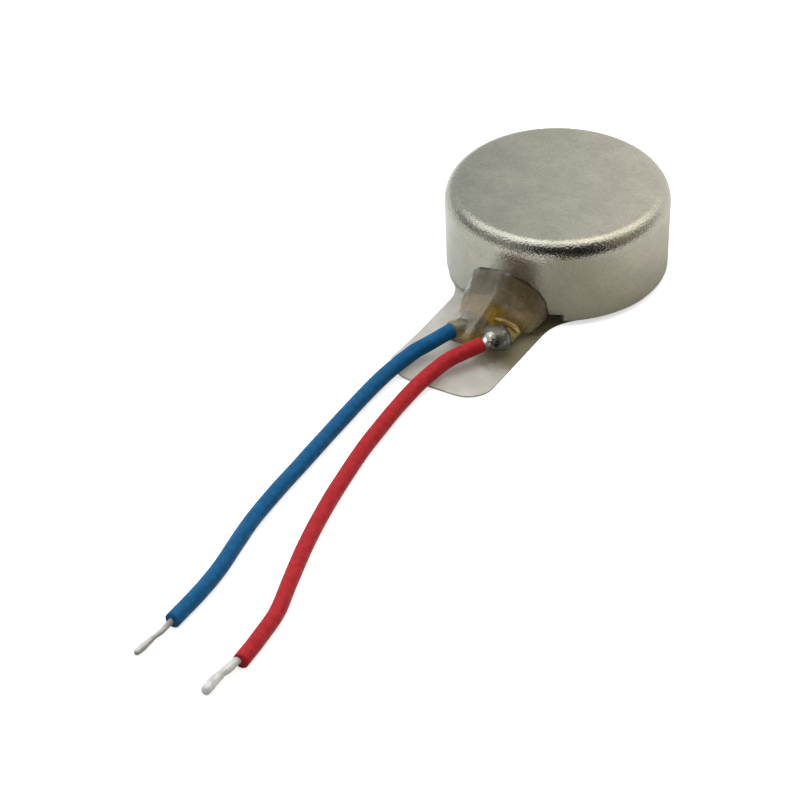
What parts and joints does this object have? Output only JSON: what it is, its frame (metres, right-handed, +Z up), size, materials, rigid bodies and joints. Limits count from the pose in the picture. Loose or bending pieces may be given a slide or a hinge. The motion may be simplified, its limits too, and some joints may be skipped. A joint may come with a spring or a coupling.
{
  "type": "vibration coin motor",
  "caption": "Flat round brushed vibration motor in a steel cup, with an eccentric rotor, adhesive base with peel-off liner, and two short insulated leads.",
  "frame": {"origin": "on the case's axis, at the underside of the release liner", "axes": "+Z up along the rotor's axis, out of the case's closed top; the leads and the pull tab leave towards -Y"},
  "size_m": [0.008, 0.0303, 0.0034],
  "materials": {
    "nickel_plated_steel": "satin nickel plate, slightly warm",
    "pin_steel": "ground and polished",
    "magnet": "dull dark plate",
    "polyimide": "glossy amber film over copper tracks",
    "tinned_copper": "tinned",
    "brush_alloy": "rolled, bright at the tips",
    "washer_film": "matte black film",
    "circuit_board": "green solder mask",
    "gold_on_copper": "hard gold plate",
    "sintered_bronze": "porous, oiled",
    "enamelled_copper": "fine wound wire, glossy enamel",
    "tungsten_alloy": "sintered, dull grey",
    "rotor_resin": "black moulding, fine grain",
    "solder": "bright, with darker ripples",
    "red_insulation": "satin",
    "blue_insulation": "satin",
    "tinned_strands": "tinned",
    "clear_resin": "clear, smoky and glossy",
    "adhesive": "tacky translucent film",
    "liner_film": "translucent white film"
  },
  "bodies": {
    "stator": {"case_cup": "nickel_plated_steel", "base_plate": "nickel_plated_steel", "shaft": "pin_steel", "ring_magnet": "magnet", "flex_circuit": "polyimide", "pad_red": "tinned_copper", "pad_blue": "tinned_copper", "brush_positive": "brush_alloy", "brush_negative": "brush_alloy", "lower_washer": "washer_film", "upper_washer": "washer_film", "solder_joint_red": "solder", "solder_joint_blue": "solder", "red_lead": "red_insulation", "blue_lead": "blue_insulation", "red_lead_end": "tinned_strands", "blue_lead_end": "tinned_strands", "glue_blob": "clear_resin", "adhesive_pad": "adhesive", "release_liner": "liner_film"},
    "rotor": {"rotor_board": "circuit_board", "commutator_segment_1": "gold_on_copper", "commutator_segment_2": "gold_on_copper", "commutator_segment_3": "gold_on_copper", "commutator_segment_4": "gold_on_copper", "commutator_segment_5": "gold_on_copper", "commutator_segment_6": "gold_on_copper", "rotor_bush": "sintered_bronze", "coil_1": "enamelled_copper", "coil_2": "enamelled_copper", "counterweight": "tungsten_alloy", "rotor_resin": "rotor_resin"}
  },
  "joints": [
    {"name": "rotor_spin", "type": "hinge", "parent": "stator", "child": "rotor", "pos_m": [0, 0, 0.00195], "axis": [0, 0, 1], "continuous": true}
  ]
}
